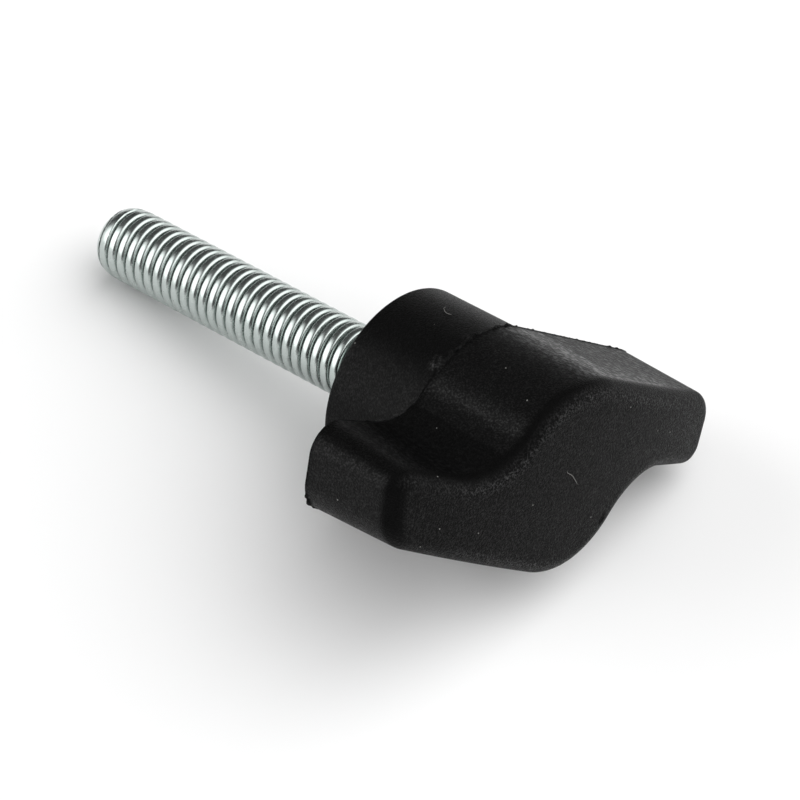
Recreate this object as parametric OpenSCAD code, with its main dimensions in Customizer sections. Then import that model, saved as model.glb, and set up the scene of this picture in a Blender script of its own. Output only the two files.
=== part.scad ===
// Wing clamping knob: a moulded S-shaped wing grip on a steel stud, lying as it comes to rest.
// The knob is drawn upright about its own axis, with the seating face of the boss at z = 0,
// the wings above it and the stud below it, and is then laid down as one.

/* [Stud] */
// Diameter over the crests of the M6 thread
thread_d = 5.9; // [4.9:0.1:7.9]
// Length of stud that stands out of the seating face
stud_len = 30; // [15:1:60]
// Bevel at the free end, measured along the stud
stud_bevel = 0.8; // [0.3:0.1:1.2]
// Diameter of the flat end of the stud, inside the bevel
stud_end_d = 4.7; // [3.5:0.1:4.8]
// How far the thread runs on into the moulding
thread_run_in = 0.1; // [0.1:0.1:2]
// Diameter of the plain neck inside the moulding
neck_d = 5.3; // [4:0.1:5.5]
// Distance from the seating face to the underside of the moulded-in head
head_depth = 7; // [4:0.5:9]
// Width across the flats of the moulded-in head
head_flats = 10; // [8:0.5:11]
// Height of the moulded-in head
head_h = 4; // [2:0.5:5]

/* [Boss] */
// Diameter of the round boss
boss_d = 15.8; // [13:0.1:16]
// Height of the boss, from the seating face to the parting line
boss_h = 7.9; // [5:0.1:12]

/* [Wings] */
// Radius of the hub at the parting line
hub_r = 8; // [7.9:0.1:9]
// Distance from the axis to the end face of a wing, square to that face
wing_reach = 18.3; // [15:0.1:26]
// Lean of the end face, in degrees
end_lean = 19.6; // [0:0.2:28]
// Distance from the axis to the inner flank of a wing
flank_offset = 0.1; // [0:0.1:2.5]
// Fall of the outer flank toward the end of the wing, in degrees
outer_fall = 1.7; // [0:0.1:4]
// Rise of the inner flank toward the end of the wing, in degrees
inner_rise = 2.5; // [0:0.1:4]
// Radius of the hollow between wing and hub
hollow_r = 5; // [3:0.1:7]
// Corner radius at the end of the wing, on the outer flank
outer_corner_r = 2; // [1.9:0.1:2.4]
// Corner radius at the end of the wing, on the inner flank
inner_corner_r = 2.1; // [2:0.1:2.6]
// Height of the front face on the axis, above the seating face
front_h = 18; // [15:0.1:22]
// Radius of the crown across the front face
crown_r = 76; // [60:1:300]
// Radius of the rounded front edge
edge_r = 1.2; // [0.6:0.1:1.3]
// Draft of the outer flanks and of the end faces, in degrees
outer_draft = 2.1; // [0:0.1:5]
// Draft of the inner flanks and of the hollows, in degrees
inner_draft = 4.7; // [0:0.1:5]

/* [Fineness] */
// Steps round each corner of a wing
corner_steps = 8; // [4:1:12]
// Steps round the hollow
hollow_steps = 14; // [8:1:20]
// Steps round the hub, between hollow and outer flank
hub_steps = 18; // [12:1:24]
// Steps round the front edge
edge_steps = 6; // [4:1:8]
// Steps across the front face
face_steps = 8; // [4:1:12]

/* [Hidden] */
$fn = 96;

boss_r = boss_d / 2;
thread_r = thread_d / 2;
stud_end_r = stud_end_d / 2;
neck_r = neck_d / 2;
flank_steps = 4;   // steps along the inner flank
boss_overlap = 3;  // how far the boss runs up inside the hub

// Points and normals of the wing outline ------------------------------------------------
function dir(angle) = [cos(angle), sin(angle)];

// A point of the outline is [x, y, angle of its outward normal, draft of the wall above it]
function on_line(p, angle, draft) = [p[0], p[1], angle, draft];
function on_arc(centre, r, angle, draft) = on_line(centre + r * dir(angle), angle, draft);
function half_turn(p) = [-p[0], -p[1], p[2] + 180, p[3]];
function blend(from, to, i, steps) = from + (to - from) * i / steps;

// Where the lines p.dir(angle1) = dist1 and p.dir(angle2) = dist2 cross
function crossing(angle1, dist1, angle2, dist2) =
    let (n1 = dir(angle1), n2 = dir(angle2), d = n1.x * n2.y - n1.y * n2.x)
    [(dist1 * n2.y - dist2 * n1.y) / d, (n1.x * dist2 - n2.x * dist1) / d];

outer_normal = 90 - outer_fall;
inner_normal = inner_rise - 90;
outer_corner = crossing(end_lean, wing_reach - outer_corner_r, outer_normal, hub_r - outer_corner_r);
inner_corner = crossing(end_lean, wing_reach - inner_corner_r, inner_normal, -flank_offset - inner_corner_r);

// The hollow's centre lies hollow_r outside both the inner flank and the hub
hollow_out = hollow_r - flank_offset;
hollow_along = sqrt(pow(hub_r + hollow_r, 2) - pow(hollow_out, 2));
hollow_centre = hollow_out * dir(inner_normal) + hollow_along * dir(inner_normal + 90);
hollow_end = atan2(hollow_centre.y, hollow_centre.x);

// Inner side of one wing, from its end face round the hollow to the underside of the hub
inner_corner_arc = [for (i = [0 : corner_steps])
    on_arc(inner_corner, inner_corner_r, blend(end_lean, inner_normal, i, corner_steps),
           blend(outer_draft, inner_draft, i, corner_steps))];
flank_start = inner_corner + inner_corner_r * dir(inner_normal);
flank_end = hollow_centre - hollow_r * dir(inner_normal);
inner_flank = [for (i = [1 : flank_steps - 1])
    on_line(blend(flank_start, flank_end, i, flank_steps), inner_normal, inner_draft)];
hollow_arc = [for (i = [0 : hollow_steps])
    let (angle = blend(inner_normal, hollow_end, i, hollow_steps))
    on_line(hollow_centre - hollow_r * dir(angle), angle, inner_draft)];
hub_arc = [for (i = [1 : hub_steps])
    on_arc([0, 0], hub_r, blend(hollow_end, outer_normal - 180, i, hub_steps),
           blend(inner_draft, outer_draft, i, hub_steps))];
inner_rest = concat(inner_flank, hollow_arc, hub_arc);
inner_side = concat(inner_corner_arc, inner_rest);

// Outer side of the same wing, with one point straight across from each point of the inner side
outer_corner_arc = [for (i = [0 : corner_steps])
    on_arc(outer_corner, outer_corner_r, blend(end_lean, outer_normal, i, corner_steps), outer_draft)];
outer_start = outer_corner + outer_corner_r * dir(outer_normal);
outer_end = hub_r * dir(outer_normal);
across_start = flank_start.x;
across_end = inner_rest[len(inner_rest) - 1].x;
outer_flank = [for (p = inner_rest)
    on_line(blend(outer_start, outer_end, p.x - across_start, across_end - across_start),
            outer_normal, outer_draft)];
outer_side = concat(outer_corner_arc, outer_flank);

// The two long sides run from the end of one wing to the end of the other
last_inner = len(inner_side) - 1;
long_side = concat(outer_side, [for (i = [last_inner - 1 : -1 : 0]) half_turn(inner_side[i])]);
last_long = len(long_side) - 1;
other_side = [for (i = [last_long : -1 : 0]) half_turn(long_side[i])];

// The end faces are divided into as many steps as the front face has across
function end_face(from, to, angle) = [for (i = [1 : face_steps - 1])
    on_line(blend(from, to, i, face_steps), angle, outer_draft)];
outline = concat(
    long_side,
    end_face(long_side[last_long], other_side[last_long], end_lean + 180),
    [for (i = [last_long : -1 : 0]) other_side[i]],
    end_face(other_side[0], long_side[0], end_lean));
ring_len = len(outline);
// Point j of one long side lies across from point opposite - j of the ring
opposite = 2 * last_long + face_steps;

// Skin of the wing moulding -----------------------------------------------------------
function crown(x) = front_h - crown_r + sqrt(pow(crown_r, 2) - pow(x, 2));
function inset(p, depth) = [p[0], p[1]] - depth * dir(p[2]);

parting_ring = [for (p = outline) [p[0], p[1], boss_h]];
// angle 0 is where the front edge leaves the flank, 90 is where it meets the front face
function edge_ring(angle) = [for (p = outline)
    let (flank_top = crown(p[0]) - edge_r,
         q = inset(p, (flank_top - boss_h) * tan(p[3]) + edge_r * (1 - cos(angle))))
    [q.x, q.y, crown(q.x) - edge_r * (1 - sin(angle))]];
edge_rings = [for (i = [0 : edge_steps]) edge_ring(90 * i / edge_steps)];
ring_count = len(edge_rings) + 1;
face_ring = edge_rings[edge_steps];

// Inside of the front face, point by point across from one long side to the other
face_points = [for (j = [1 : last_long - 1], i = [1 : face_steps - 1])
    let (a = face_ring[j],
         b = face_ring[opposite - j],
         q = blend(a, b, i, face_steps))
    [q.x, q.y, crown(q.x)]];

// Index of the front face's point in row j along the wing and column i across it
function face_index(j, i) =
    let (ring = (ring_count - 1) * ring_len)
    i == 0 ? ring + j :
    i == face_steps ? ring + opposite - j :
    j == last_long ? ring + last_long + i :
    j == 0 ? ring + ring_len - i :
    ring_count * ring_len + (j - 1) * (face_steps - 1) + i - 1;

skin_points = concat(parting_ring, [for (ring = edge_rings, p = ring) p], face_points);
flank_faces = [for (k = [0 : ring_count - 2], j = [0 : ring_len - 1])
    let (a = k * ring_len + j, b = k * ring_len + (j + 1) % ring_len)
    each [[a, a + ring_len, b], [b, a + ring_len, b + ring_len]]];
front_faces = [for (j = [0 : last_long - 1], i = [0 : face_steps - 1])
    let (a = face_index(j, i), b = face_index(j + 1, i),
         c = face_index(j + 1, i + 1), d = face_index(j, i + 1))
    each [[a, d, b], [b, d, c]]];
// The parting face is cut into strips from one long side to the other, and fans at the wing ends
parting_faces = concat(
    [for (j = [1 : last_long - 2]) [j, j + 1, opposite - j - 1, opposite - j]],
    [concat([1, opposite - 1], [for (i = [opposite : ring_len]) i % ring_len])],
    [[for (i = [last_long - 1 : last_long + face_steps + 1]) i]]);

module wing_moulding() {
    polyhedron(points = skin_points, faces = concat(parting_faces, flank_faces, front_faces));
}

// Stud, with the head that holds it in the moulding -----------------------------------
module stud_shape() {
    rotate_extrude()
        polygon([
            [0, -stud_len],
            [stud_end_r, -stud_len],
            [thread_r, stud_bevel - stud_len],
            [thread_r, thread_run_in],
            [neck_r, thread_run_in],
            [neck_r, head_depth],
            [0, head_depth]]);
    translate([0, 0, head_depth])
        cylinder(h = head_h, d = head_flats / cos(30), $fn = 6);
}

// Resting pose: the stud's bevel, the rim of the boss and one wing end touch the surface ----
dip = atan((boss_r - thread_r) / (stud_len - stud_bevel));
tip_below = (boss_r + boss_h * tan(dip) - inner_corner_r) / norm(inner_corner);
turn = acos(tip_below) - atan2(inner_corner.y, inner_corner.x);

module lay_down() {
    rotate([0, 90 - dip, 0])
        rotate([0, 0, turn])
            children();
}

module wing_grip() {
    color("#242526") lay_down() difference() {
        union() {
            cylinder(h = boss_h + boss_overlap, r = boss_r);
            wing_moulding();
        }
        stud_shape();
    }
}

module threaded_stud() {
    color("silver") lay_down() stud_shape();
}

wing_grip();
threaded_stud();
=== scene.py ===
import math

import bmesh
import bpy
from mathutils import Euler, Matrix, Vector, noise
from mathutils.geometry import delaunay_2d_cdt


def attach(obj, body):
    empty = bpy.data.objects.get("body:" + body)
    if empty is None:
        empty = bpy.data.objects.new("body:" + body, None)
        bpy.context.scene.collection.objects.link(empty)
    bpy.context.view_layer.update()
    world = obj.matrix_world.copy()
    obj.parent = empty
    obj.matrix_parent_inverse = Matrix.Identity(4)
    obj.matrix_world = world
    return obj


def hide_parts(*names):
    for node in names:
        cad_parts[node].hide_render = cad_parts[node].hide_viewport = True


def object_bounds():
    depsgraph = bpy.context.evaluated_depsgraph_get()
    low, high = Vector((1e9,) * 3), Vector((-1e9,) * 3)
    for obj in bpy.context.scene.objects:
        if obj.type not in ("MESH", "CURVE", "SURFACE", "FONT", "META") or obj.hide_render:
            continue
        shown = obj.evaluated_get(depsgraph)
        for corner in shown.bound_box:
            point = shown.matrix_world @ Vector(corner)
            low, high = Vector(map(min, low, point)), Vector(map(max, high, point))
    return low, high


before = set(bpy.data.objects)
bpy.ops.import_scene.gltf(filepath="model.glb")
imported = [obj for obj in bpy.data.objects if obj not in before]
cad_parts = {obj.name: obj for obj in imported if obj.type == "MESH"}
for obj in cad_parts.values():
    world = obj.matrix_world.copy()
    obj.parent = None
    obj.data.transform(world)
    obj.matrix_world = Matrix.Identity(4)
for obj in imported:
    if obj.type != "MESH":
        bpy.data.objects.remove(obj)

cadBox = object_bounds()
print("frame loaded:", ", ".join(sorted(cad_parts)))

# All sizes are millimetres in the knob's own frame: seating face at z = 0, wings above, stud below
mm = 0.001
stud = {"crest": 5.9, "root": 4.72, "pitch": 1.0, "length": 30.0, "bevel": 0.8, "endDiameter": 4.7,
        "runIn": 1.0, "neck": 5.3, "headDepth": 7.0, "headFlats": 10.0, "headHeight": 4.0,
        "endRound": 0.55, "around": 144, "perPitch": 18, "neckAround": 48, "sharp": 50,
        "crestCurve": ((0.1, 0.3), (0.24, 0.72), (0.45, 0.93), (0.7, 0.985))}
# the boss carries an even painted sheen
boss = {"radius": 7.9, "height": 7.9, "rim": 0.3, "around": 360, "ringStep": 0.16, "rimSteps": 5,
        "faceShares": (0.2, 0.5, 0.8, 1), "markShown": 0.03, "markWear": 4, "smooth": 0.85, "paintedSheen": 0.22}
wings = {"hub": 8.0, "reach": 18.3, "endLean": 19.6, "flankOffset": 0.1, "outerFall": 1.7,
         "innerRise": 2.5, "hollow": 5.0, "outerCorner": 3.0, "innerCorner": 2.1, "front": 18.0,
         "crown": 76.0, "edge": 1.2, "outerDraft": 2.1, "innerDraft": 4.7,
         "step": 0.15, "flankRings": 24, "edgeRings": 10, "faceStep": 0.35,
         "faceSpan": 20, "faceMargin": 0.6,
         # painted highlight: a lighter band on the front edge rounding, away from the wing ends
         "edgeHighlightTurn": 74, "edgeHighlightSpread": 15, "highlightReach": 15, "highlightFade": 4,
         # painted sheen: extra coat on the hub, the outer flanks and the wing ends
         "hubPaintedSheen": 0.42, "hubWithin": 1.06, "flankPaintedSheen": (0.55, 0.5), "flankFade": 38,
         "endSmooth": 0.85, "endPaintedSheen": 0.4, "endFull": 1.3, "endFade": 50, "endPaintedSheenFade": 20,
         # painted shade: a dark line along the edge rounding, at this turn and spread
         "shadeLineTurn": 28, "shadeLineSpread": 22, "sharp": 38}
# ragged flash and witness groove along the parting edge
flash = {"least": 0.05, "most": 0.42, "ragged": 2.3, "patch": 0.2, "patchLift": 0.45, "height": 0.08,
         "grooveDepth": 0.25, "grooveWidth": 0.3}
# marks left by moulding and handling, as (place, reach, height)
marks = {"boss": (((-6.47, 4.52, 6.98), 0.3, 0.13), ((-6.68, 4.22, 7.17), 0.34, 0.2),
                  ((-6.86, 3.91, 7.34), 0.26, 0.14), ((-5.91, 5.24, 7.5), 0.16, 0.12),
                  ((-4.69, 6.35, 7.48), 0.2, 0.1), ((-4.45, 6.5, 7.3), 0.16, 0.07)),
         "front": (((5.2, -2.68), 0.24, -0.12), ((5.35, -2.5), 0.16, 0.05), ((5.0, -2.95), 0.16, -0.07)),
         "spread": 2.4, "rings": 10, "spokes": 14}
# fine fibres: (x, y) on the front, (turn in degrees, height) on the boss
fibres = {"front": ((-1.92, 0.68), (-1.79, 0.53), (-1.5, 0.46), (-1.18, 0.4), (-0.9, 0.3), (-0.67, 0.15),
                    (-0.33, -0.03), (0.0, -0.24)),
          "boss": ((110.06, 3.45), (112.2, 3.52), (113.3, 3.71), (114.4, 3.92), (115.0, 4.16),
                   (114.8, 4.37), (114.1, 4.55)),
          "radius": 0.022, "around": 6, "endShare": 0.4, "lift": 0.6}


def direction(degrees):
    return Vector((math.cos(math.radians(degrees)), math.sin(math.radians(degrees))))


def crossing(angleA, distanceA, angleB, distanceB):
    # where the lines with these normals and distances from the axis cross
    a, b = direction(angleA), direction(angleB)
    d = a.x * b.y - a.y * b.x
    return Vector(((distanceA * b.y - distanceB * a.y) / d, (a.x * distanceB - b.x * distanceA) / d))


outerNormal = 90 - wings["outerFall"]
innerNormal = wings["innerRise"] - 90
outerCorner = crossing(wings["endLean"], wings["reach"] - wings["outerCorner"],
                       outerNormal, wings["hub"] - wings["outerCorner"])
innerCorner = crossing(wings["endLean"], wings["reach"] - wings["innerCorner"],
                       innerNormal, -wings["flankOffset"] - wings["innerCorner"])


def restingPlace():
    # the stud's bevel, the boss's rim and one wing end touch the surface below
    dip = math.atan((boss["radius"] - stud["crest"] / 2) / (stud["length"] - stud["bevel"]))
    below = (boss["radius"] + boss["height"] * math.tan(dip) - wings["innerCorner"]) / innerCorner.length
    turn = math.acos(below) - math.atan2(innerCorner.y, innerCorner.x)
    return (Matrix.Rotation(math.pi / 2 - dip, 4, "Y") @ Matrix.Rotation(turn, 4, "Z")
            @ Matrix.Scale(mm, 4))


laidDown = restingPlace()
print("resting place worked out")


def wingOutline(w):
    # points round the wings as (place, normal in degrees, draft in degrees), clockwise
    points = []

    def steps(length):
        return max(2, round(length / w["step"]))

    def straight(start, end, angle, draft):
        count = steps((end - start).length)
        for i in range(count):
            points.append((start.lerp(end, i / count), angle, draft))

    def arc(centre, radius, fromAngle, toAngle, fromDraft, toDraft, hollow=False):
        count = steps(radius * math.radians(abs(toAngle - fromAngle)))
        for i in range(count):
            t = i / count
            angle = fromAngle + (toAngle - fromAngle) * t
            out = -radius if hollow else radius
            points.append((centre + out * direction(angle), angle, fromDraft + (toDraft - fromDraft) * t))

    across = w["hollow"] - w["flankOffset"]
    along = math.sqrt((w["hub"] + w["hollow"]) ** 2 - across ** 2)
    hollowCentre = across * direction(innerNormal) + along * direction(innerNormal + 90)
    hollowEnd = math.degrees(math.atan2(hollowCentre.y, hollowCentre.x))
    straight(w["hub"] * direction(outerNormal), outerCorner + w["outerCorner"] * direction(outerNormal),
             outerNormal, w["outerDraft"])
    arc(outerCorner, w["outerCorner"], outerNormal, w["endLean"], w["outerDraft"], w["outerDraft"])
    straight(outerCorner + w["outerCorner"] * direction(w["endLean"]),
             innerCorner + w["innerCorner"] * direction(w["endLean"]), w["endLean"], w["outerDraft"])
    arc(innerCorner, w["innerCorner"], w["endLean"], innerNormal, w["outerDraft"], w["innerDraft"])
    straight(innerCorner + w["innerCorner"] * direction(innerNormal),
             hollowCentre - w["hollow"] * direction(innerNormal), innerNormal, w["innerDraft"])
    arc(hollowCentre, w["hollow"], innerNormal, hollowEnd, w["innerDraft"], w["innerDraft"], hollow=True)
    arc(Vector((0, 0)), w["hub"], hollowEnd, outerNormal - 180, w["innerDraft"], w["outerDraft"])
    return points + [(-p, angle + 180, draft) for p, angle, draft in points]


def crownAt(x):
    return wings["front"] - wings["crown"] + math.sqrt(wings["crown"] ** 2 - x * x)


# the masks: wear on the boss marks with a painted edge highlight, dust and fibres, smoothness with a painted
# shade line, coarser grain, and painted sheen
plasticMasks = ("wearAndHighlight", "pale", "smooth", "coarse", "paintedSheen")
# output type and tolerance of delaunay_2d_cdt
fillType = 2
fillNear = 1e-6


class Skin:
    # vertices and faces of one moulding, ring by ring, with the masks that its material reads
    def __init__(self):
        self.points = []
        self.faces = []
        self.wearAndHighlight = {}
        self.pale = {}
        self.smooth = {}
        self.coarse = {}
        self.paintedSheen = {}

    def ring(self, places):
        first = len(self.points)
        self.points += [Vector(p) for p in places]
        return list(range(first, len(self.points)))

    def stitch(self, a, b):
        n = len(a)
        self.faces += [(a[i], a[(i + 1) % n], b[(i + 1) % n], b[i]) for i in range(n)]

    def fill(self, loops, inner=()):
        # triangles inside the closed rings, with inner points added
        index = [i for loop in loops for i in loop] + list(inner)
        flat = [self.points[i].xy for i in index]
        edges, first = [], 0
        for loop in loops:
            n = len(loop)
            edges += [(first + i, first + (i + 1) % n) for i in range(n)]
            first += n
        _, _, triangles, origin, _, _ = delaunay_2d_cdt(flat, edges, [], fillType, fillNear)
        self.faces += [tuple(index[origin[v][0]] for v in t) for t in triangles]

    def toMesh(self, title, place, sharp):
        mesh = bpy.data.meshes.new(title)
        mesh.from_pydata([place @ p for p in self.points], [], self.faces)
        build = bmesh.new()
        build.from_mesh(mesh)
        bmesh.ops.recalc_face_normals(build, faces=build.faces)
        build.to_mesh(mesh)
        build.free()
        for mask in plasticMasks:
            values = getattr(self, mask)
            layer = mesh.attributes.new(mask, "FLOAT", "POINT")
            layer.data.foreach_set("value", [values.get(i, 0) for i in range(len(self.points))])
        mesh.shade_smooth()
        mesh.set_sharp_from_angle(angle=math.radians(sharp))
        return mesh


def circle(radius, z, count):
    return [(radius * math.cos(2 * math.pi * i / count), radius * math.sin(2 * math.pi * i / count), z)
            for i in range(count)]


def marksHeight(q, places):
    # height of the marks near a point, each a soft bell
    return sum(high * math.exp(-((q - Vector(at)).length / wide) ** 2) for at, wide, high in places)


def wingMoulding():
    skin = Skin()
    outline = wingOutline(wings)
    flankTop = [crownAt(p.x) - wings["edge"] for p, _, _ in outline]

    def wallRing(t):
        places = []
        for (p, angle, draft), top in zip(outline, flankTop):
            z = boss["height"] + (top - boss["height"]) * t
            q = p - (z - boss["height"]) * math.tan(math.radians(draft)) * direction(angle)
            places.append((q.x, q.y, z))
        return skin.ring(places)

    def edgeRing(turn):
        places = []
        for (p, angle, draft), top in zip(outline, flankTop):
            depth = (top - boss["height"]) * math.tan(math.radians(draft))
            depth += wings["edge"] * (1 - math.cos(turn))
            q = p - depth * direction(angle)
            places.append((q.x, q.y, crownAt(q.x) - wings["edge"] * (1 - math.sin(turn))))
        return skin.ring(places)

    def highlightAwayFromEnds(p):
        # painted highlight share: full out to a set distance from the axis, none at the wing ends
        return min(1, max(0, (wings["highlightReach"] - p.length) / wings["highlightFade"]))

    def flashAt(p):
        ragged = noise.noise(Vector((p.x, p.y, 0)) * flash["ragged"])
        patch = noise.noise(Vector((p.x, p.y, 9)) * flash["patch"])
        return flash["least"] + flash["most"] * max(0, ragged) * max(0, patch + flash["patchLift"])

    # the flash stops short of the floor, where a wing end rests
    parting = []
    for p, angle, _ in outline:
        room = (laidDown @ Vector((p.x, p.y, boss["height"]))).z - cadBox[0].z
        parting.append(p + min(flashAt(p), max(0, room / mm)) * direction(angle))
    rings = [skin.ring([(q.x, q.y, boss["height"]) for q in parting])]
    rings.append(wallRing(flash["height"] / min(flankTop)))
    # painted sheen on the outer flanks, growing toward the front edge and fading toward the wing ends, and
    # an even painted sheen round the hub
    highlightFrom, brightestHighlight = wings["flankPaintedSheen"]
    for i in range(1, wings["flankRings"]):
        t = i / wings["flankRings"]
        rings.append(wallRing(t))
        for k, (p, angle, _) in zip(rings[-1], outline):
            share = max(0, 1 - abs((angle - outerNormal + 90) % 180 - 90) / wings["flankFade"])
            skin.coarse[k] = share
            skin.paintedSheen[k] = share * brightestHighlight * max(0, (t - highlightFrom) / (1 - highlightFrom)) * highlightAwayFromEnds(p)
            if p.length < wings["hub"] * wings["hubWithin"]:
                skin.paintedSheen[k] = max(skin.paintedSheen[k], wings["hubPaintedSheen"])
    for i in range(wings["edgeRings"] + 1):
        turn = i / wings["edgeRings"] * 90
        rings.append(edgeRing(math.radians(turn)))
        # painted highlight: a lighter, glossier band on the edge rounding near the front face
        wornAndHighlit = math.exp(-((turn - wings["edgeHighlightTurn"]) / wings["edgeHighlightSpread"]) ** 2)
        skin.wearAndHighlight.update((k, wornAndHighlit * highlightAwayFromEnds(p)) for k, (p, _, _) in zip(rings[-1], outline))
    for a, b in zip(rings, rings[1:]):
        skin.stitch(a, b)
    # the wing ends are smoother, and so are their corners; a painted shade line runs along the edge
    # rounding, and the wing ends carry a painted sheen
    for row, ring in enumerate(rings[:-2]):
        turn = max(0, row - wings["flankRings"]) / wings["edgeRings"] * 90
        for k, (_, angle, _) in zip(ring, outline):
            away = abs((angle - wings["endLean"] + 90) % 180 - 90)
            share = min(1, max(0, wings["endFull"] - away / wings["endFade"]))
            shadeLine = math.exp(-((turn - wings["shadeLineTurn"]) / wings["shadeLineSpread"]) ** 2)
            skin.smooth[k] = max(share * wings["endSmooth"], shadeLine)
            endPaintedSheen = share * wings["endPaintedSheen"] * max(0, 1 - turn / wings["endPaintedSheenFade"])
            skin.paintedSheen[k] = endPaintedSheen + skin.paintedSheen.get(k, 0)

    # front face, with its own grid of points a little way inside the last ring
    border = [skin.points[i].xy for i in rings[-1]]
    grid = []
    count = int(wings["faceSpan"] / wings["faceStep"])
    for i in range(-count, count + 1):
        for j in range(-count, count + 1):
            x, y = i * wings["faceStep"], j * wings["faceStep"]
            nearMark = min((Vector((x, y)) - Vector(place)).length / size
                           for place, size, _ in marks["front"])
            clear = insideBy(border, x, y) > wings["faceStep"] * wings["faceMargin"]
            if nearMark > marks["spread"] and clear:
                grid.append((x, y, crownAt(x)))
    for place, size, _ in marks["front"][:1]:
        for i in range(marks["rings"]):
            for j in range(marks["spokes"]):
                q = Vector(place) + direction(360 * (j + i / 2) / marks["spokes"]) * (
                    size * marks["spread"] * (i + 0.5) / marks["rings"])
                grid.append((q.x, q.y, crownAt(q.x) + marksHeight(q, marks["front"])))
    inner = skin.ring(grid)
    skin.fill([rings[-1]], inner)

    # boss, from the parting plane down to the rim, the seating face and the bore for the stud
    n = boss["around"]
    top = boss["height"] - flash["grooveWidth"]
    wallSteps = round((top - boss["rim"]) / boss["ringStep"])
    low = [skin.ring(circle(boss["radius"] - flash["grooveDepth"], boss["height"], n))]
    for step in range(wallSteps + 1):
        places = []
        for x, y, z in circle(boss["radius"], top + (boss["rim"] - top) * step / wallSteps, n):
            height = marksHeight(Vector((x, y, z)), marks["boss"])
            grow = 1 + height / boss["radius"]
            if height > boss["markShown"]:
                wornAndHighlit = min(1, height / boss["markShown"] / boss["markWear"])
                skin.wearAndHighlight[len(skin.points) + len(places)] = wornAndHighlit
            places.append((x * grow, y * grow, z))
        low.append(skin.ring(places))
    for i in range(1, boss["rimSteps"] + 1):
        turn = math.pi / 2 * i / boss["rimSteps"]
        low.append(skin.ring(circle(boss["radius"] - boss["rim"] * (1 - math.cos(turn)),
                                    boss["rim"] * (1 - math.sin(turn)), n)))
    bore = stud["root"] / 2
    low += [skin.ring(circle(bore + (boss["radius"] - boss["rim"] - bore) * (1 - t), 0, n))
            for t in boss["faceShares"]]
    low.append(skin.ring(circle(bore, stud["headDepth"], n)))
    hexagon = []
    for x, y, z in circle(1, stud["headDepth"], n):
        side = (math.degrees(math.atan2(y, x)) % 60) - 30
        r = stud["headFlats"] / 2 / math.cos(math.radians(side))
        hexagon.append((x * r, y * r, z))
    low.append(skin.ring(hexagon))
    low.append(skin.ring([(x, y, z + stud["headHeight"]) for x, y, z in hexagon]))
    for a, b in zip(low, low[1:]):
        skin.stitch(a, b)
        # the boss is smoother, with an even painted sheen
        skin.smooth.update((i, boss["smooth"]) for i in a)
        skin.paintedSheen.update((i, boss["paintedSheen"]) for i in a)
    # the parting face, and with it a disc inside the boss, out of sight
    skin.fill([rings[0], low[0]])
    skin.fill([low[-1]])
    lift = fibres["radius"] * fibres["lift"]
    fibre(skin, [Vector((x, y, crownAt(x) + lift)) for x, y in fibres["front"]])
    fibre(skin, [Vector((*(direction(turn) * (boss["radius"] + lift)), z)) for turn, z in fibres["boss"]])
    return skin


def fibre(skin, path):
    # a closed thin tube along the path
    before = len(skin.points)
    count = fibres["around"]
    for i, p in enumerate(path):
        along = (path[min(i + 1, len(path) - 1)] - path[max(i - 1, 0)]).normalized()
        side = along.orthogonal().normalized()
        up = along.cross(side)
        thin = fibres["radius"] * (fibres["endShare"] if i in (0, len(path) - 1) else 1)
        ring = skin.ring([p + thin * (math.cos(2 * math.pi * j / count) * side
                                      + math.sin(2 * math.pi * j / count) * up) for j in range(count)])
        if i:
            skin.stitch(last, ring)
        else:
            skin.faces.append(tuple(ring))
        last = ring
    skin.faces.append(tuple(reversed(last)))
    skin.pale.update((i, 1) for i in range(before, len(skin.points)))


def insideBy(border, x, y):
    # distance inside the closed border, or -1 outside it
    inside = False
    nearest = 1e9
    for a, b in zip(border, border[1:] + border[:1]):
        if (a.y > y) != (b.y > y) and x < (b.x - a.x) * (y - a.y) / (b.y - a.y) + a.x:
            inside = not inside
        nearest = min(nearest, (a.x - x) ** 2 + (a.y - y) ** 2)
    return math.sqrt(nearest) if inside else -1


def newMaterial(name):
    material = bpy.data.materials.new(name)
    material.use_nodes = True
    shader = material.node_tree.nodes["Principled BSDF"]
    return material, material.node_tree, shader


def give(links, socket, value):
    # links a socket to another one, or sets its own value
    if isinstance(value, bpy.types.NodeSocket):
        links.new(value, socket)
    else:
        socket.default_value = value


def scalar(nodes, links, operation, a, b=0.0, clamp=False):
    # one maths node on values or sockets
    node = nodes.new("ShaderNodeMath")
    node.operation = operation
    node.use_clamp = clamp
    give(links, node.inputs[0], a)
    give(links, node.inputs[1], b)
    return node.outputs[0]


def newGroup(name, inputs, outputs):
    group = bpy.data.node_groups.new(name, "ShaderNodeTree")
    for label, value in inputs:
        socket = group.interface.new_socket(label, in_out="INPUT", socket_type="NodeSocketFloat")
        socket.default_value = value
    for label in outputs:
        group.interface.new_socket(label, in_out="OUTPUT", socket_type="NodeSocketFloat")
    nodes = group.nodes
    given = nodes.new("NodeGroupInput").outputs
    result = nodes.new("NodeGroupOutput").inputs
    return group, nodes, group.links, given, result


grainShape = {"coarser": 0.35, "noiseRoughness": 0.7, "highSpots": (0.47, 0.68)}


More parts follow.
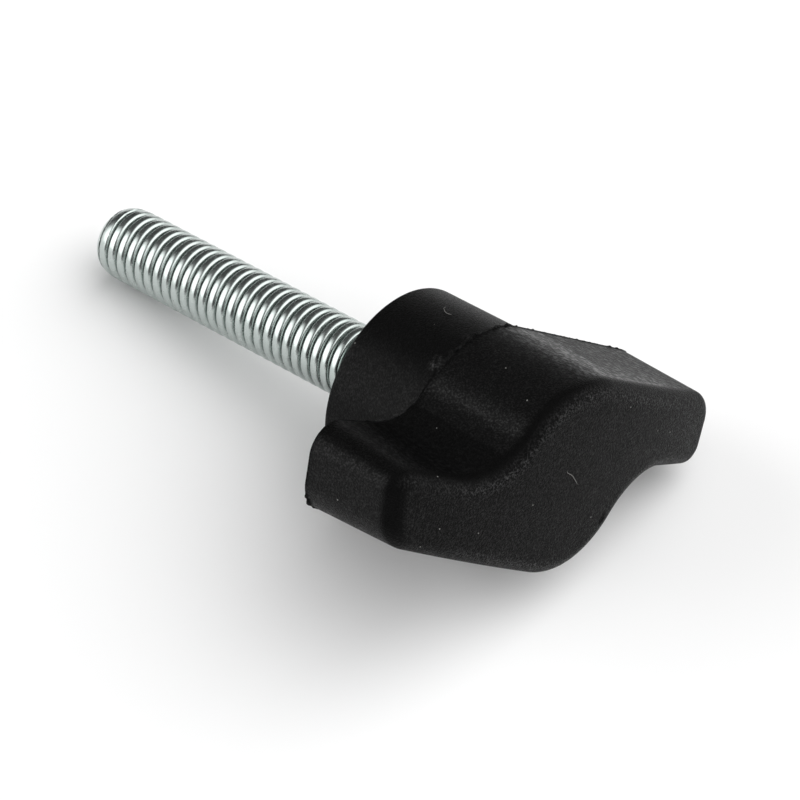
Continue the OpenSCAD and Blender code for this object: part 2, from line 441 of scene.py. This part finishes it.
def grainGroup():
    # spark-eroded grain: a pebbled height and a mask of its high spots
    group, nodes, links, given, result = newGroup(
        "eroded grain", (("Grain Size", 0.12), ("Coarse Share", 0.3)), ("Height", "High Spots"))
    place = nodes.new("ShaderNodeTexCoord").outputs["Object"]
    perMetre = scalar(nodes, links, "DIVIDE", 1000, given["Grain Size"])
    layers = []
    fewer = scalar(nodes, links, "MULTIPLY", perMetre, grainShape["coarser"])
    for scale, detail in ((perMetre, 2), (fewer, 1)):
        layer = nodes.new("ShaderNodeTexNoise")
        layer.inputs["Detail"].default_value = detail
        layer.inputs["Roughness"].default_value = grainShape["noiseRoughness"]
        links.new(place, layer.inputs["Vector"])
        links.new(scale, layer.inputs["Scale"])
        layers.append(layer.outputs["Fac"])
    both = nodes.new("ShaderNodeMix")
    links.new(given["Coarse Share"], both.inputs["Factor"])
    links.new(layers[0], both.inputs["A"])
    links.new(layers[1], both.inputs["B"])
    links.new(both.outputs["Result"], result["Height"])
    high = nodes.new("ShaderNodeMapRange")
    high.inputs["From Min"].default_value = grainShape["highSpots"][0]
    high.inputs["From Max"].default_value = grainShape["highSpots"][1]
    links.new(both.outputs["Result"], high.inputs["Value"])
    links.new(high.outputs["Result"], result["High Spots"])
    return group


def speckGroup():
    # rare round specks, one at most in each cell of space
    group, nodes, links, given, result = newGroup(
        "specks", (("Spacing", 1.2), ("Size", 0.06), ("Share", 0.5)), ("Mask",))
    cells = nodes.new("ShaderNodeTexVoronoi")
    links.new(nodes.new("ShaderNodeTexCoord").outputs["Object"], cells.inputs["Vector"])
    links.new(scalar(nodes, links, "DIVIDE", 1000, given["Spacing"]), cells.inputs["Scale"])
    reach = scalar(nodes, links, "DIVIDE", given["Size"], given["Spacing"])
    near = scalar(nodes, links, "LESS_THAN", cells.outputs["Distance"], reach)
    pick = nodes.new("ShaderNodeSeparateColor")
    links.new(cells.outputs["Color"], pick.inputs[0])
    chosen = scalar(nodes, links, "LESS_THAN", pick.outputs[0], given["Share"])
    links.new(scalar(nodes, links, "MULTIPLY", near, chosen), result["Mask"])
    return group


def mixColour(nodes, links, factor, a, b):
    mix = nodes.new("ShaderNodeMix")
    mix.data_type = "RGBA"
    links.new(factor, mix.inputs["Factor"])
    give(links, mix.inputs["A"], a)
    give(links, mix.inputs["B"], b)
    return mix.outputs["Result"]


def fromGroup(nodes, links, group, values):
    node = nodes.new("ShaderNodeGroup")
    node.node_tree = group
    for name, value in values.items():
        give(links, node.inputs[name], value)
    return node.outputs


def gripPlastic(look, specks):
    material, tree, shader = newMaterial("black grip plastic")
    nodes, links = tree.nodes, tree.links
    masks = {}
    for mask in plasticMasks:
        attribute = nodes.new("ShaderNodeAttribute")
        attribute.attribute_name = mask
        masks[mask] = attribute.outputs["Fac"]
    coarser = scalar(nodes, links, "MULTIPLY", masks["coarse"], look["flankCoarse"])
    grain = fromGroup(nodes, links, grainGroup(), {
        "Grain Size": look["grain"], "Coarse Share": scalar(nodes, links, "ADD", coarser, look["coarse"])})
    # the grain's lighter high spots and glints are taken out where the surface is smooth and along the
    # painted shade line
    rough = scalar(nodes, links, "SUBTRACT", 1, masks["smooth"])
    high = scalar(nodes, links, "MULTIPLY", grain["High Spots"], rough)
    # real wear on the boss marks, and the painted highlight band on the front edge
    wornAndHighlit = scalar(nodes, links, "MULTIPLY", grain["High Spots"],
                    scalar(nodes, links, "MULTIPLY", masks["wearAndHighlight"], look["wearAndHighlight"]))
    dust = fromGroup(nodes, links, specks, {
        "Spacing": look["dustSpacing"], "Size": look["dustSize"], "Share": look["dustShare"]})["Mask"]
    pale = scalar(nodes, links, "MAXIMUM", masks["pale"], dust)
    colour = mixColour(nodes, links, high, look["colour"], look["highColour"])
    colour = mixColour(nodes, links, wornAndHighlit, colour, look["wornAndHighlitColour"])
    colour = mixColour(nodes, links, pale, colour, look["dustColour"])
    links.new(colour, shader.inputs["Base Color"])
    duller = scalar(nodes, links, "MULTIPLY", wornAndHighlit, look["wornAndHighlitRoughness"])
    links.new(scalar(nodes, links, "ADD", duller, look["roughness"]), shader.inputs["Roughness"])
    shader.inputs["Specular IOR Level"].default_value = look["specular"]
    glint = scalar(nodes, links, "MULTIPLY", high, look["glint"])
    wornAndHighlitCoat = scalar(nodes, links, "MULTIPLY", wornAndHighlit, look["wornAndHighlitGlint"])
    # painted sheen: extra coat where its mask is set, partly following the grain
    grainyPaintedSheen = scalar(nodes, links, "MULTIPLY", grain["High Spots"], look["paintedSheenGrain"])
    grainyPaintedSheen = scalar(nodes, links, "ADD", grainyPaintedSheen, 1 - look["paintedSheenGrain"])
    grainyPaintedSheen = scalar(nodes, links, "MULTIPLY", grainyPaintedSheen, masks["paintedSheen"])
    glint = scalar(nodes, links, "ADD", glint, grainyPaintedSheen)
    links.new(scalar(nodes, links, "ADD", glint, wornAndHighlitCoat, clamp=True), shader.inputs["Coat Weight"])
    shader.inputs["Coat Roughness"].default_value = look["glintRoughness"]
    bump = nodes.new("ShaderNodeBump")
    bump.inputs["Strength"].default_value = look["bump"]
    bump.inputs["Distance"].default_value = look["depth"] * mm
    links.new(grain["Height"], bump.inputs["Height"])
    links.new(bump.outputs["Normal"], shader.inputs["Normal"])
    return material


def zincPlate(look, specks):
    material, tree, shader = newMaterial("zinc plate")
    nodes, links = tree.nodes, tree.links
    shader.inputs["Metallic"].default_value = 1
    mottle = nodes.new("ShaderNodeTexNoise")
    mottle.inputs["Scale"].default_value = 1 / (look["mottle"] * mm)
    mottle.inputs["Detail"].default_value = 4
    links.new(nodes.new("ShaderNodeTexCoord").outputs["Object"], mottle.inputs["Vector"])
    pits = fromGroup(nodes, links, specks, {
        "Spacing": look["pitSpacing"], "Size": look["pitSize"], "Share": look["pitShare"]})["Mask"]
    colour = mixColour(nodes, links, mottle.outputs["Fac"], look["colour"], look["paleColour"])
    # painted shade: the thread roots are darkened toward a near-black colour
    crest = nodes.new("ShaderNodeAttribute")
    crest.attribute_name = "crest"
    outOfRootShade = nodes.new("ShaderNodeMapRange")
    outOfRootShade.inputs["From Min"].default_value = look["rootShadeReach"][0]
    outOfRootShade.inputs["From Max"].default_value = look["rootShadeReach"][1]
    links.new(crest.outputs["Fac"], outOfRootShade.inputs["Value"])
    colour = mixColour(nodes, links, outOfRootShade.outputs["Result"], look["rootShadeColour"], colour)
    links.new(mixColour(nodes, links, pits, colour, look["pitColour"]), shader.inputs["Base Color"])
    rough = nodes.new("ShaderNodeMapRange")
    rough.inputs["From Min"].default_value = look["mottleRange"][0]
    rough.inputs["From Max"].default_value = look["mottleRange"][1]
    rough.inputs["To Min"].default_value = look["roughness"][0]
    rough.inputs["To Max"].default_value = look["roughness"][1]
    links.new(mottle.outputs["Fac"], rough.inputs["Value"])
    links.new(rough.outputs["Result"], shader.inputs["Roughness"])
    bump = nodes.new("ShaderNodeBump")
    bump.inputs["Strength"].default_value = look["bump"]
    bump.inputs["Distance"].default_value = look["depth"] * mm
    links.new(mottle.outputs["Fac"], bump.inputs["Height"])
    links.new(bump.outputs["Normal"], shader.inputs["Normal"])
    return material


# sizes in millimetres, colours in linear light
plasticLook = {"colour": (0.001, 0.001, 0.001, 1), "highColour": (0.002, 0.002, 0.002, 1),
               # lighter colour, extra roughness and extra coat of the worn boss marks and of the painted
               # highlight on the front edge
               "wornAndHighlitColour": (0.014, 0.014, 0.014, 1), "dustColour": (0.22, 0.22, 0.21, 1),
               "roughness": 0.45, "wornAndHighlitRoughness": 0.12, "wearAndHighlight": 1.0, "specular": 0.045, "grain": 0.145,
               "coarse": 0.12, "flankCoarse": 0.75, "bump": 1.0, "depth": 0.16, "dustSize": 0.055,
               "dustSpacing": 1.3, "dustShare": 0.6,
               "glint": 0.34, "paintedSheenGrain": 0.75, "wornAndHighlitGlint": 0.4, "glintRoughness": 0.33}
zincLook = {"colour": (0.43, 0.475, 0.46, 1), "paleColour": (0.52, 0.57, 0.55, 1),
            # the root colour is painted shade in the thread roots
            "pitColour": (0.06, 0.065, 0.065, 1), "rootShadeColour": (0.03, 0.033, 0.033, 1),
            "rootShadeReach": (0.12, 0.7), "roughness": (0.2, 0.3), "mottle": 0.4, "bump": 0.15,
            "depth": 0.02, "pitSize": 0.07, "pitSpacing": 1.1, "pitShare": 0.35, "mottleRange": (0.3, 0.7)}

speckMask = speckGroup()
gripMaterial = gripPlastic(plasticLook, speckMask)
zincMaterial = zincPlate(zincLook, speckMask)
print("materials made")


def finishPiece(mesh, material, name, node):
    # the stud's mesh comes with its material, the grip's doesn't
    piece = bpy.data.objects.new(name, mesh)
    bpy.context.scene.collection.objects.link(piece)
    if not mesh.materials:
        mesh.materials.append(material)
    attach(piece, "root")
    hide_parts(node)
    return piece


gripMesh = wingMoulding().toMesh("wing_grip_moulding", laidDown, wings["sharp"])
finishPiece(gripMesh, gripMaterial, "wing_grip_moulding", "wing_grip")
print("wing grip:", len(gripMesh.polygons), "faces")


def threadTree():
    # a cylinder whose radius follows the turns of the thread, with its neck and head
    tree = bpy.data.node_groups.new("rolled thread", "GeometryNodeTree")
    tree.interface.new_socket("Geometry", in_out="INPUT", socket_type="NodeSocketGeometry")
    for name in ("Length", "Run In", "Pitch", "End Round", "Crest Radius", "Root Radius", "End Radius",
                 "Neck Radius", "Head Depth", "Head Radius", "Head Height"):
        tree.interface.new_socket(name, in_out="INPUT", socket_type="NodeSocketFloat")
    for name in ("Around", "Along"):
        tree.interface.new_socket(name, in_out="INPUT", socket_type="NodeSocketInt")
    tree.interface.new_socket("Finish", in_out="INPUT", socket_type="NodeSocketMaterial")
    tree.interface.new_socket("Geometry", in_out="OUTPUT", socket_type="NodeSocketGeometry")
    nodes, links = tree.nodes, tree.links
    given, result = nodes.new("NodeGroupInput"), nodes.new("NodeGroupOutput")

    def maths(operation, a, b=0.0):
        return scalar(nodes, links, operation, a, b)

    def upright(vertices, rows, radius, height):
        node = nodes.new("GeometryNodeMeshCylinder")
        for name, value in (("Vertices", vertices), ("Side Segments", rows), ("Radius", radius),
                            ("Depth", height)):
            give(links, node.inputs[name], value)
        return node.outputs["Mesh"]

    def moved(mesh, z):
        offset = nodes.new("ShaderNodeCombineXYZ")
        links.new(z, offset.inputs["Z"])
        node = nodes.new("GeometryNodeTransform")
        links.new(mesh, node.inputs["Geometry"])
        links.new(offset.outputs[0], node.inputs["Translation"])
        return node.outputs["Geometry"]

    whole = maths("ADD", given.outputs["Length"], given.outputs["Run In"])
    rod = moved(upright(given.outputs["Around"], given.outputs["Along"], 1.0, whole),
                maths("SUBTRACT", given.outputs["Run In"], maths("MULTIPLY", whole, 0.5)))
    position = nodes.new("GeometryNodeInputPosition")
    parts = nodes.new("ShaderNodeSeparateXYZ")
    links.new(position.outputs[0], parts.inputs[0])
    turn = maths("DIVIDE", maths("ARCTAN2", parts.outputs["Y"], parts.outputs["X"]), 2 * math.pi)
    phase = maths("SUBTRACT", maths("DIVIDE", parts.outputs["Z"], given.outputs["Pitch"]), turn)
    flank = maths("MULTIPLY", maths("PINGPONG", phase, 0.5), 2)
    rounded = nodes.new("ShaderNodeFloatCurve")
    curve = rounded.mapping.curves[0]
    for x, y in stud["crestCurve"]:
        curve.points.new(x, y)
    rounded.mapping.update()
    links.new(flank, rounded.inputs["Value"])
    depth = maths("SUBTRACT", given.outputs["Crest Radius"], given.outputs["Root Radius"])
    radius = maths("ADD", given.outputs["Root Radius"], maths("MULTIPLY", rounded.outputs["Value"], depth))
    # the end is rounded off toward its flat
    fromEnd = maths("ADD", parts.outputs["Z"], given.outputs["Length"])
    fade = maths("EXPONENT", maths("DIVIDE", maths("MULTIPLY", fromEnd, -1), given.outputs["End Round"]))
    bevel = maths("SUBTRACT", given.outputs["Crest Radius"], given.outputs["End Radius"])
    fall = maths("MULTIPLY", bevel, fade)
    limit = maths("SUBTRACT", given.outputs["Crest Radius"], fall)
    radius = maths("MINIMUM", radius, limit)
    cut = nodes.new("ShaderNodeCombineXYZ")
    links.new(maths("MULTIPLY", parts.outputs["X"], radius), cut.inputs["X"])
    links.new(maths("MULTIPLY", parts.outputs["Y"], radius), cut.inputs["Y"])
    links.new(parts.outputs["Z"], cut.inputs["Z"])
    place = nodes.new("GeometryNodeSetPosition")
    links.new(rod, place.inputs["Geometry"])
    links.new(cut.outputs[0], place.inputs["Position"])
    crest = nodes.new("GeometryNodeStoreNamedAttribute")
    crest.inputs["Name"].default_value = "crest"
    links.new(place.outputs["Geometry"], crest.inputs["Geometry"])
    links.new(rounded.outputs["Value"], crest.inputs["Value"])
    neckHeight = maths("SUBTRACT", given.outputs["Head Depth"], given.outputs["Run In"])
    neck = moved(upright(stud["neckAround"], 1, given.outputs["Neck Radius"], neckHeight),
                 maths("ADD", given.outputs["Run In"], maths("MULTIPLY", neckHeight, 0.5)))
    head = moved(upright(6, 1, given.outputs["Head Radius"], given.outputs["Head Height"]),
                 maths("ADD", given.outputs["Head Depth"],
                       maths("MULTIPLY", given.outputs["Head Height"], 0.5)))
    join = nodes.new("GeometryNodeJoinGeometry")
    for geometry in (crest.outputs["Geometry"], neck, head):
        links.new(geometry, join.inputs["Geometry"])
    real = nodes.new("GeometryNodeRealizeInstances")
    finish = nodes.new("GeometryNodeSetMaterial")
    links.new(join.outputs["Geometry"], real.inputs["Geometry"])
    links.new(real.outputs["Geometry"], finish.inputs["Geometry"])
    links.new(given.outputs["Finish"], finish.inputs["Material"])
    links.new(finish.outputs["Geometry"], result.inputs["Geometry"])
    return tree


def builtByTree(name, tree, values):
    # evaluates a geometry tree on an empty mesh and gives back the plain mesh
    carrier = bpy.data.objects.new(name, bpy.data.meshes.new(name))
    bpy.context.scene.collection.objects.link(carrier)
    modifier = carrier.modifiers.new(name, "NODES")
    modifier.node_group = tree
    for socket in tree.interface.items_tree:
        if socket.in_out == "INPUT" and socket.name in values:
            modifier[socket.identifier] = values[socket.name]
    bpy.context.view_layer.update()
    ready = carrier.evaluated_get(bpy.context.evaluated_depsgraph_get())
    mesh = bpy.data.meshes.new_from_object(ready)
    carrier.modifiers.clear()
    bpy.data.objects.remove(carrier)
    mesh.name = name
    return mesh


turnsInAll = (stud["length"] + stud["runIn"]) / stud["pitch"]
studMesh = builtByTree("threaded_stud_rolled", threadTree(), {
    "Length": stud["length"], "Run In": stud["runIn"], "Pitch": stud["pitch"], "End Round": stud["endRound"],
    "Crest Radius": stud["crest"] / 2, "Root Radius": stud["root"] / 2,
    "End Radius": stud["endDiameter"] / 2, "Neck Radius": stud["neck"] / 2,
    "Head Depth": stud["headDepth"], "Head Height": stud["headHeight"],
    "Head Radius": stud["headFlats"] / 2 / math.cos(math.radians(30)),
    "Around": stud["around"], "Along": round(turnsInAll * stud["perPitch"]), "Finish": zincMaterial})
studMesh.transform(laidDown)
studMesh.shade_smooth()
studMesh.set_sharp_from_angle(angle=math.radians(stud["sharp"]))
finishPiece(studMesh, zincMaterial, "threaded_stud_rolled", "threaded_stud")
print("threaded stud:", len(studMesh.polygons), "faces")

# lobes of the sky, in degrees: azimuth, elevation, where it ends and where it is full; then strength
studio = {"floor": 2.0, "floorColour": (0.93, 0.93, 0.93, 1), "floorRoughness": 0.9, "base": 0.08,
          "lobes": {"left": (-138, 19, 38, 13, 2.6), "right": (35, 45, 72, 20, 2.1)}}


def softSky(world):
    # a dim sky with wide soft lobes of light, the same for every ray
    nodes, links = world.node_tree.nodes, world.node_tree.links
    place = nodes.new("ShaderNodeTexCoord")
    total = studio["base"]
    for name, (azimuth, elevation, end, full, strength) in studio["lobes"].items():
        flat = math.cos(math.radians(elevation))
        toLobe = (flat * math.cos(math.radians(azimuth)), flat * math.sin(math.radians(azimuth)),
                  math.sin(math.radians(elevation)))
        near = nodes.new("ShaderNodeVectorMath")
        near.operation = "DOT_PRODUCT"
        near.label = name
        near.inputs[1].default_value = toLobe
        links.new(place.outputs["Generated"], near.inputs[0])
        level = nodes.new("ShaderNodeMapRange")
        level.interpolation_type = "SMOOTHSTEP"
        level.inputs["From Min"].default_value = math.cos(math.radians(end))
        level.inputs["From Max"].default_value = math.cos(math.radians(full))
        level.inputs["To Max"].default_value = strength
        links.new(near.outputs["Value"], level.inputs["Value"])
        total = scalar(nodes, links, "ADD", total, level.outputs["Result"])
    links.new(total, nodes["Background"].inputs["Strength"])


def buildStudio():
    low = cadBox[0].z
    half = studio["floor"] / 2
    floorMesh = bpy.data.meshes.new("floor")
    corners = [(-half, -half, low), (half, -half, low), (half, half, low), (-half, half, low)]
    floorMesh.from_pydata(corners, [], [(0, 1, 2, 3)])
    floor = bpy.data.objects.new("floor", floorMesh)
    bpy.context.scene.collection.objects.link(floor)
    material, tree, shader = newMaterial("white floor")
    shader.inputs["Base Color"].default_value = studio["floorColour"]
    shader.inputs["Roughness"].default_value = studio["floorRoughness"]
    shader.inputs["Specular IOR Level"].default_value = 0
    floorMesh.materials.append(material)
    world = bpy.data.worlds.new("studio")
    world.use_nodes = True
    bpy.context.scene.world = world
    world.node_tree.nodes["Background"].inputs["Color"].default_value = (1, 1, 1, 1)
    softSky(world)


buildStudio()
print("studio built")

view = {"location": (140.573, -172.192, 214.718), "turn": (45.6484, -4.0607, 43.0956), "lens": 186.188}
camera = bpy.data.objects.new("camera", bpy.data.cameras.new("camera"))
camera.location = Vector(view["location"]) * mm
camera.rotation_euler = Euler([math.radians(a) for a in view["turn"]])
camera.data.sensor_width = 36
camera.data.lens = view["lens"]
camera.data.clip_start = 0.01
bpy.context.scene.collection.objects.link(camera)
bpy.context.scene.camera = camera
bpy.context.scene.view_settings.view_transform = "Standard"
